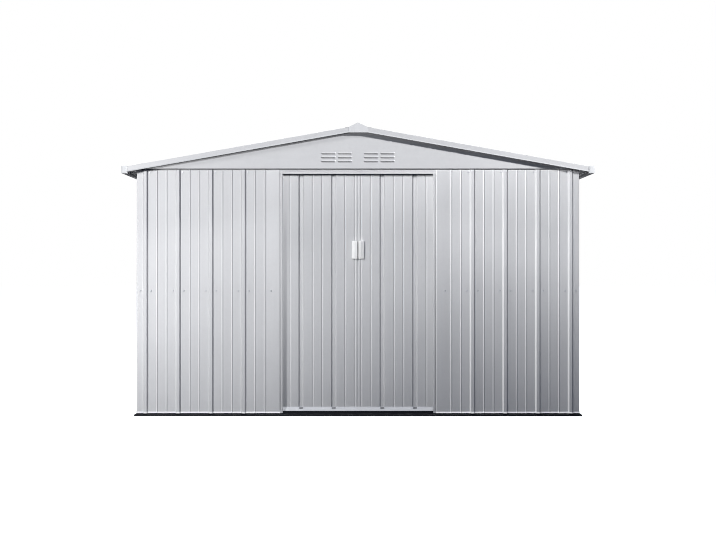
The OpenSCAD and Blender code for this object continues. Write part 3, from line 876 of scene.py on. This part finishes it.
pts = []
for s in (-1, 1):
    for c in [q for q in rib_centres(-HW, -HALF_DOOR - 104, PITCH / 2)]:
        for dx in (-35.0, 37.0):
            if c + dx < -HALF_DOOR - 80:
                pts.append(((-s * (c + dx), -HD, BRACE_Z), (0, -1, 0), (0, 0, 1)))
    pts.append(((s * 591.0, -HD - 2.4, BRACE_Z), (0, -1, 0), (0, 0, 1)))
    for c in rib_centres(-HW, -HALF_DOOR - 104, PITCH / 2):
        pts.append(((-s * (c + 31.0), -HD, WALL_Z1 - 18), (0, -1, 0), (0, 0, 1)))
screw_piece("screws_front", pts, "root")
pts = []
for c in rib_centres(-HW, HW, PITCH / 2):
    for dx in (-35.0, 37.0):
        pts.append(((c + dx, HD, BRACE_Z), (0, 1, 0), (0, 0, 1)))
    pts.append(((c + 31.0, HD, WALL_Z1 - 18), (0, 1, 0), (0, 0, 1)))
screw_piece("screws_back", [p for p in pts if abs(p[0][0]) < HW - 15], "root")
for s, nm in ((-1, "left"), (1, "right")):
    pts = []
    for c in rib_centres(-HD, HD, 0.0):
        for dx in (-35.0, 37.0):
            pts.append(((s * HW, c + dx, BRACE_Z), (s, 0, 0), (0, 0, 1)))
        pts.append(((s * HW, c + 31.0, WALL_Z1 - 20), (s, 0, 0), (0, 0, 1)))
    screw_piece("screws_" + nm, [p for p in pts if abs(p[0][1]) < HD - 15], "root")
    pts = []
    up = (s * CA, 0, -SA)
    nrm = (s * SA, 0, CA)
    for w in (150.0, 762.0, 1460.0):
        for c in rib_centres(-ry, ry, 0.0):
            v = 11.0 + T
            x = w * CA + v * SA
            pts.append(((s * x, c, ROOF_U - w * SA + v * CA), nrm, up))
    # along the verges
    for w in spread(180.0, 1480.0, 325):
        for sy in (-1, 1):
            v = ROOF_HI
            x = w * CA + v * SA
            pts.append(((s * x, sy * (VERGE_Y - 17), ROOF_U - w * SA + v * CA), nrm, up))
    screw_piece("screws_roof_" + nm, pts, "root")
# ---------------------------------------------------------------- carried-over CAD nodes
for name, ob in frame["nodes"].items():
    if name.startswith("sill"):
        mat, bev = M_BLACK, 0.9
    elif name.endswith("glides"):
        mat, bev = M_NYLON, 0.8
    elif name in ("corner_posts", "door_track", "ridge_beam", "roof_purlins") or name.startswith(("brace", "top_rail")) or name.endswith("stiles"):
        mat, bev = M_FRAME, 0.35
    else:
        continue
    ob.data.materials.clear()
    ob.data.materials.append(mat)
    mod = ob.modifiers.new("soft_edges", "BEVEL")
    mod.width = bev * MM
    mod.segments = 2
    mod.limit_method = "ANGLE"
    mod.angle_limit = math.radians(30)
    mod.use_clamp_overlap = True
    mod.harden_normals = False

# ---------------------------------------------------------------- floor, light
bm = bmesh.new()
R = 60.0
n = 48
rings = []
for k, r in enumerate((0.0, 3.0, 6.0, 12.0, 25.0, R)):
    if k == 0:
        rings.append([bm.verts.new((0, 0, 0))])
    else:
        rings.append([bm.verts.new((r * math.cos(2 * math.pi * i / n), r * math.sin(2 * math.pi * i / n), 0)) for i in range(n)])
for i in range(n):
    bm.faces.new((rings[0][0], rings[1][i], rings[1][(i + 1) % n]))
for a, b in zip(rings[1:], rings[2:]):
    for i in range(n):
        bm.faces.new((a[i], b[i], b[(i + 1) % n], a[(i + 1) % n]))
me = bpy.data.meshes.new("floor")
bm.to_mesh(me)
bm.free()
floor = bpy.data.objects.new("floor", me)
bpy.context.scene.collection.objects.link(floor)
floor.location = (0, 0, -0.0004)
fm = bpy.data.materials.new("floor_pale")
fm.use_nodes = True
nt = fm.node_tree
nt.nodes.remove(nt.nodes["Principled BSDF"])
out = nt.nodes["Material Output"]
geo = add(nt, "ShaderNodeNewGeometry")
length = add(nt, "ShaderNodeVectorMath", operation="LENGTH")
nt.links.new(geo.outputs["Position"], length.inputs[0])
glow = ramp(nt, length.outputs["Value"], 2.0, 9.0, 1.0, 1.0)
emis = add(nt, "ShaderNodeEmission")
nt.links.new(glow, emis.inputs["Strength"])
diff = add(nt, "ShaderNodeBsdfDiffuse")
diff.inputs["Color"].default_value = (0.55, 0.55, 0.55, 1)
both = add(nt, "ShaderNodeAddShader")
nt.links.new(emis.outputs[0], both.inputs[0])
nt.links.new(diff.outputs[0], both.inputs[1])
dim = add(nt, "ShaderNodeBsdfDiffuse")
dim.inputs["Color"].default_value = (0.14, 0.14, 0.145, 1)
lp = add(nt, "ShaderNodeLightPath")
sw = add(nt, "ShaderNodeMixShader")
nt.links.new(lp.outputs["Is Camera Ray"], sw.inputs[0])
nt.links.new(dim.outputs[0], sw.inputs[1])
nt.links.new(both.outputs[0], sw.inputs[2])
nt.links.new(sw.outputs[0], out.inputs["Surface"])
me.materials.append(fm)

world = bpy.data.worlds.new("studio")
bpy.context.scene.world = world
world.use_nodes = True
nt = world.node_tree
bg = nt.nodes["Background"]
out = nt.nodes["World Output"]
bg.inputs["Color"].default_value = (0.12, 0.34, 1.0, 1)
bg.inputs["Strength"].default_value = 0.085
white = add(nt, "ShaderNodeBackground")
white.inputs["Color"].default_value = (1, 1, 1, 1)
white.inputs["Strength"].default_value = 1.0
lp = add(nt, "ShaderNodeLightPath")
sw = add(nt, "ShaderNodeMixShader")
nt.links.new(lp.outputs["Is Camera Ray"], sw.inputs[0])
nt.links.new(bg.outputs[0], sw.inputs[1])
nt.links.new(white.outputs[0], sw.inputs[2])
nt.links.new(sw.outputs[0], out.inputs["Surface"])
bpy.context.scene.view_settings.view_transform = "Standard"
bpy.context.scene.view_settings.look = "None"
bpy.context.scene.cycles.filter_width = 0.9


def softbox(name, at, aim, sx, sy, watts, colour=(1, 1, 1)):
    d = bpy.data.lights.new(name, "AREA")
    d.shape = "RECTANGLE"
    d.size, d.size_y = sx, sy
    d.energy = watts
    d.color = colour
    o = bpy.data.objects.new(name, d)
    bpy.context.scene.collection.objects.link(o)
    o.location = at
    o.rotation_euler = (Vector(aim) - Vector(at)).to_track_quat("-Z", "Y").to_euler()
    o.visible_camera = False
    return o


def spot(name, at, aim, angle, watts, size=0.9, colour=(1, 1, 1)):
    """A far lamp whose soft-edged cone gives the long gradient over the front."""
    d = bpy.data.lights.new(name, "SPOT")
    d.spot_size = math.radians(angle)
    d.spot_blend = 1.0
    d.energy = watts
    d.shadow_soft_size = size
    d.color = colour
    o = bpy.data.objects.new(name, d)
    bpy.context.scene.collection.objects.link(o)
    o.location = at
    o.rotation_euler = (Vector(aim) - Vector(at)).to_track_quat("-Z", "Y").to_euler()
    o.visible_camera = False
    return o


walls_light = [
    spot("front_low_left", (-7.68, -8.34, 2.27), (-2.47, -1.17, 0.71), 20.3, 5237),
    spot("front_low_mid", (-5.59, -8.14, 1.87), (-0.13, -1.17, 0.31), 17.2, 983),
    spot("front_high", (-4.06, -9.14, 4.35), (-0.51, -1.17, 2.17), 29.0, 2338),
    spot("front_high_right", (-1.74, -9.14, 6.26), (1.81, -1.17, 4.08), 44.7, 6047),
    spot("front_low_right", (-3.50, -8.14, 2.69), (1.96, -1.17, 1.13), 21.5, 819),
]
edge_light = softbox("graze_right_wall", (-7.0, -2.3, 0.45), (1.0, -1.17, 0.5), 0.6, 0.7, 140)
gable_light = [
    softbox("gable_right", (9.0, -8.25, 5.35), (0.0, -1.18, 1.8), 0.9, 0.9, 1890),
    softbox("gable_fill", (-1.2, -4.2, 4.6), (0.0, -1.18, 1.8), 1.6, 0.9, 44),
    softbox("gable_front", (-2.6, -3.6, 1.5), (-0.9, -1.18, 1.75), 1.2, 0.6, 34),
]
softbox("over_roof", (0.0, 1.6, 5.4), (0.0, 0.8, 1.8), 4.0, 2.5, 150)
softbox("back_left", (-4.2, 5.2, 3.6), (-0.5, 0.6, 1.0), 2.2, 2.2, 150)
softbox("back_right", (4.6, 5.0, 3.6), (0.8, 0.6, 1.0), 2.2, 2.2, 150)

lip_light = softbox("above_front", (0.0, -1.97, 9.0), (0.0, -1.18, 0.0), 3.2, 0.3, 820)
lips = bpy.data.collections.new("light_lips")
for n in ("front_wall_left.sheet", "front_wall_right.sheet", "door_left_sheet.sheet", "door_right_sheet.sheet", "door_left_rails.rail",
          "door_right_rails.rail", "door_jamb_left.jamb", "door_jamb_right.jamb", "door_header.rail", "door_left_handle.grip", "door_right_handle.grip"):
    lips.objects.link(bpy.data.objects[n])
lip_light.light_linking.receiver_collection = lips

# the right-hand side wall is lit from its own side, so it reads like the others when seen from there
side_light = softbox("right_side", (5.6, -1.0, 2.6), (1.5, 0.1, 0.9), 2.6, 2.0, 95)
side = bpy.data.collections.new("light_side")
for n in ("right_wall.sheet", "screws_right", "eave_trim_right.trim"):
    side.objects.link(bpy.data.objects[n])
side_light.light_linking.receiver_collection = side

# the gable and its trims have a light of their own, from the other side
upper = ("front_gable.sheet", "verge_front_left.trim", "verge_front_right.trim", "ridge_end_cap_front.cap", "eave_corner_caps.cap")
only_upper = bpy.data.collections.new("light_upper")
not_upper = bpy.data.collections.new("light_not_upper")
for n in upper:
    only_upper.objects.link(bpy.data.objects[n])
    not_upper.objects.link(bpy.data.objects[n])
for c in not_upper.collection_objects:
    c.light_linking.link_state = "EXCLUDE"
right_only = bpy.data.collections.new("light_right_wall")
right_only.objects.link(bpy.data.objects["front_wall_right.sheet"])
edge_light.light_linking.receiver_collection = right_only
for o in gable_light:
    o.light_linking.receiver_collection = only_upper
for o in walls_light:
    o.light_linking.receiver_collection = not_upper
# the jamb and the handles throw only the soft part of their shadow
no_block = bpy.data.collections.new("light_soft_shadow")
for n in ("door_jamb_left.jamb", "front_wall_left.sheet", "door_left_handle.grip", "door_right_handle.grip"):
    no_block.objects.link(bpy.data.objects[n])
for c in no_block.collection_objects:
    c.light_linking.link_state = "EXCLUDE"
soft_jamb = bpy.data.collections.new("light_soft_jamb")
for n in ("door_jamb_left.jamb", "front_wall_left.sheet"):
    soft_jamb.objects.link(bpy.data.objects[n])
for c in soft_jamb.collection_objects:
    c.light_linking.link_state = "EXCLUDE"
for o in walls_light + [lip_light]:
    if o.name == "front_high":
        o.light_linking.blocker_collection = soft_jamb
    elif "high" in o.name or o is lip_light:
        o.light_linking.blocker_collection = no_block
